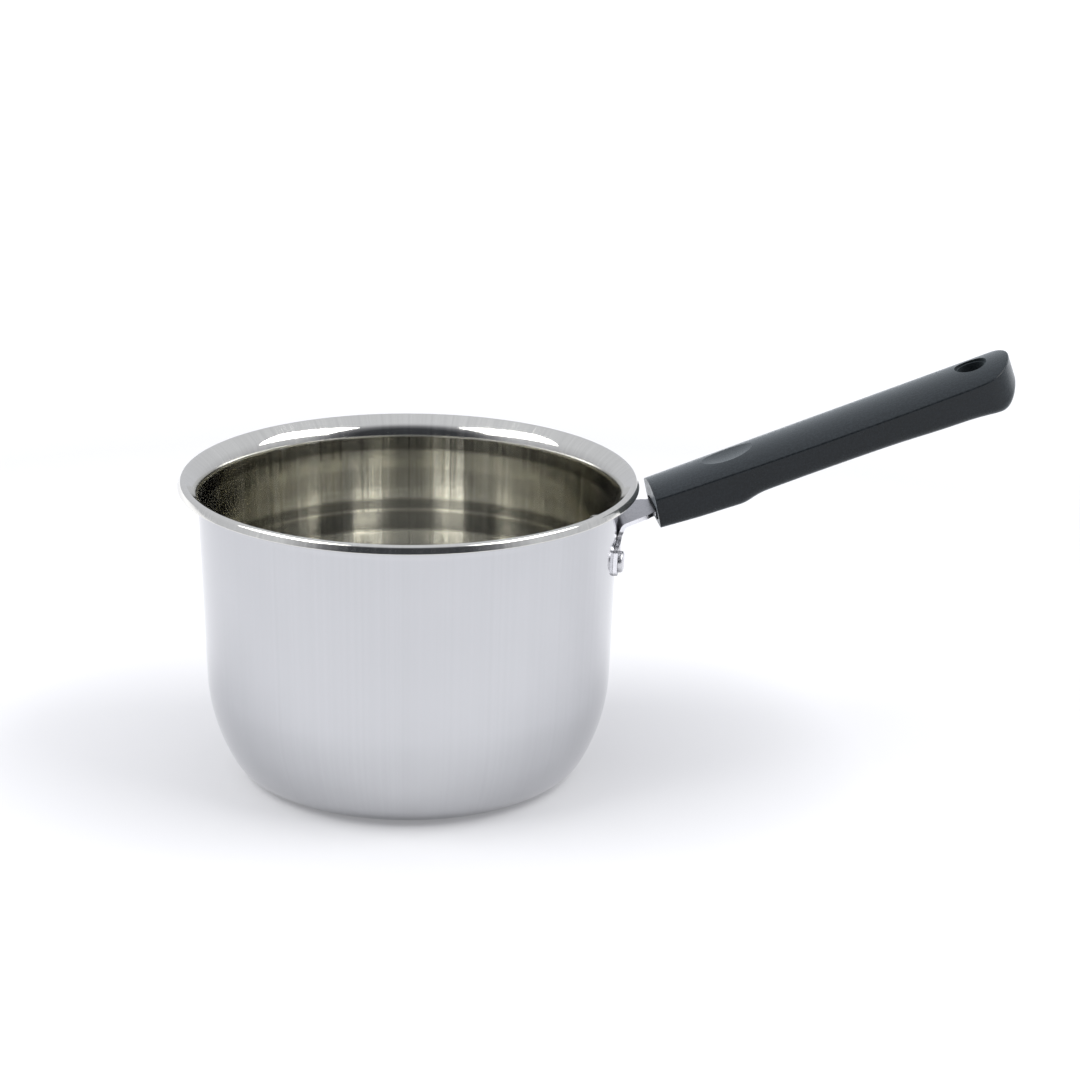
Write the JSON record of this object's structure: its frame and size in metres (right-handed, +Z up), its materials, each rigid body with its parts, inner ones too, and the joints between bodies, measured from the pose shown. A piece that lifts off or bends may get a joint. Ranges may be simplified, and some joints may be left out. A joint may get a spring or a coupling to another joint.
{
  "type": "melting pot",
  "caption": "Open polished steel melting pot with a flared, turned-down lip and one long moulded side handle on a riveted bracket.",
  "frame": {"origin": "centre of the base underside, on the vessel's axis", "axes": "+Z up along the vessel's axis, +X out along the handle's middle plane"},
  "size_m": [0.285, 0.1552, 0.1422],
  "materials": {
    "polished_steel": "mirror polished stainless, faint circular polishing lines",
    "bracket_steel": "satin stainless strap",
    "rivet_steel": "satin",
    "grip_phenolic": "dark grey moulded phenolic, semi-matt",
    "collar_rubber": "black, matt",
    "screw_steel": "zinc plated"
  },
  "bodies": {
    "root": {"pot_body": "polished_steel", "handle_bracket": "bracket_steel", "rivet_front": "rivet_steel", "rivet_rear": "rivet_steel", "handle_grip": "grip_phenolic", "bracket_collar": "collar_rubber", "fixing_screw": "screw_steel"}
  },
  "joints": []
}
